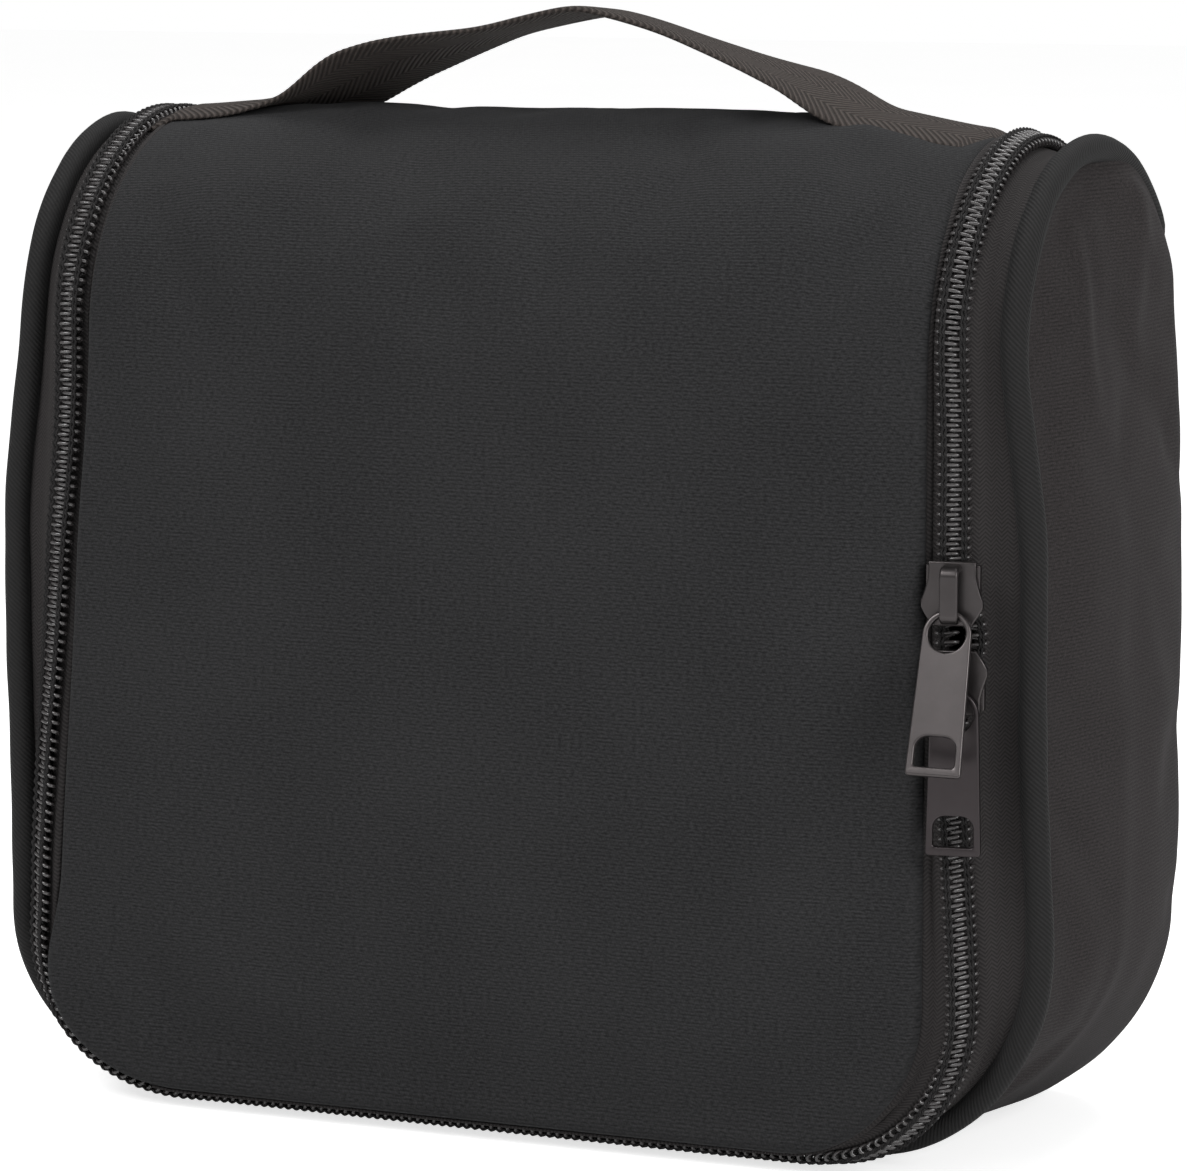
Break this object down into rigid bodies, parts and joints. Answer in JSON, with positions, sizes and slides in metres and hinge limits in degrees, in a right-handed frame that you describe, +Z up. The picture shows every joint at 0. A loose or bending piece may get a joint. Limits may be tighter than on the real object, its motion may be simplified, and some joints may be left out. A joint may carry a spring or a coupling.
{
  "type": "hanging toiletry bag",
  "caption": "Boxy zipped toiletry bag with an arched top, a fold-up front flap on a coil zip with sliders, piping, a webbing carry handle and an inner hook for hanging.",
  "frame": {"origin": "middle of the underside of the bottom panel", "axes": "+X is the viewer's right, the front flap faces -Y, +Z is up"},
  "size_m": [0.2178, 0.1026, 0.2154],
  "materials": {
    "shell_fabric": "ribbed polyester, matt",
    "lining_fabric": "smooth polyester lining",
    "binding_fabric": "twill piping and binding",
    "webbing": "woven webbing",
    "zip_tape": "woven zip tape",
    "zip_coil": "nylon coil, semi gloss",
    "mesh_fabric": "knitted mesh",
    "padding": "closed foam sheet",
    "slider_metal": "gunmetal, satin",
    "hook_plastic": "moulded plastic"
  },
  "bodies": {
    "bag_body": {"back_panel": "shell_fabric", "back_lining": "lining_fabric", "side_panel_left": "shell_fabric", "side_lining_left": "lining_fabric", "side_panel_right": "shell_fabric", "side_lining_right": "lining_fabric", "bottom_panel": "shell_fabric", "bottom_lining": "lining_fabric", "front_piping": "binding_fabric", "back_piping": "binding_fabric", "body_zip_tape": "zip_tape", "body_zip_coil": "zip_coil", "wall_pocket_mesh": "mesh_fabric", "wall_pocket_elastic": "binding_fabric"},
    "top_flap": {"top_panel": "shell_fabric", "top_lining": "lining_fabric", "top_zip_tape_left": "zip_tape", "top_zip_coil_left": "zip_coil", "top_zip_tape_right": "zip_tape", "top_zip_coil_right": "zip_coil", "handle_end_left": "webbing", "handle_end_right": "webbing"},
    "handle": {"carry_handle": "webbing"},
    "front_flap": {"front_panel": "shell_fabric", "front_foam": "padding", "front_lining": "lining_fabric", "flap_zip_tape": "zip_tape", "flap_zip_coil": "zip_coil", "flap_pocket_mesh": "mesh_fabric", "flap_pocket_edge": "binding_fabric"},
    "hook_strap": {"hook_strap": "webbing"},
    "hook": {"hanging_hook": "hook_plastic"},
    "upper_slider": {"slider_upper": "slider_metal"},
    "upper_pull": {"pull_upper": "slider_metal"},
    "lower_slider": {"slider_lower": "slider_metal"},
    "lower_pull": {"pull_lower": "slider_metal"}
  },
  "joints": [
    {"name": "flap_hinge", "type": "hinge", "parent": "bag_body", "child": "top_flap", "pos_m": [0, 0.03253, 0.18253], "axis": [-1, 0, 0], "range_deg": [0, 95]},
    {"name": "flap_fold", "type": "hinge", "parent": "top_flap", "child": "front_flap", "pos_m": [0, -0.03253, 0.18253], "axis": [-1, 0, 0], "range_deg": [0, 90]},
    {"name": "handle_swing", "type": "hinge", "parent": "top_flap", "child": "handle", "pos_m": [0, 0, 0.1961], "axis": [1, 0, 0], "range_deg": [-40, 40]},
    {"name": "hook_strap_fold", "type": "hinge", "parent": "front_flap", "child": "hook_strap", "pos_m": [0, -0.0364, 0.014], "axis": [-1, 0, 0], "range_deg": [0, 60]},
    {"name": "hook_fold", "type": "hinge", "parent": "hook_strap", "child": "hook", "pos_m": [0, -0.0364, 0.048], "axis": [-1, 0, 0], "range_deg": [0, 120]},
    {"name": "upper_slider_run", "type": "slide", "parent": "front_flap", "child": "upper_slider", "axis": [0, 0, 1], "range_m": [0, 0.028]},
    {"name": "lower_slider_run", "type": "slide", "parent": "front_flap", "child": "lower_slider", "axis": [0, 0, -1], "range_m": [0, 0.045]},
    {"name": "lower_pull_swing", "type": "hinge", "parent": "lower_slider", "child": "lower_pull", "pos_m": [0.09397, -0.04564, 0.0928], "axis": [-0.9439, -0.3304, 0], "range_deg": [0, 130]},
    {"name": "upper_pull_swing", "type": "hinge", "parent": "upper_slider", "child": "upper_pull", "pos_m": [0.09397, -0.04564, 0.109], "axis": [-0.9439, -0.3304, 0], "range_deg": [0, 130]}
  ],
  "couplings": [
    {"joint": "upper_pull_swing", "follows": "lower_pull_swing", "ratio": 1}
  ]
}
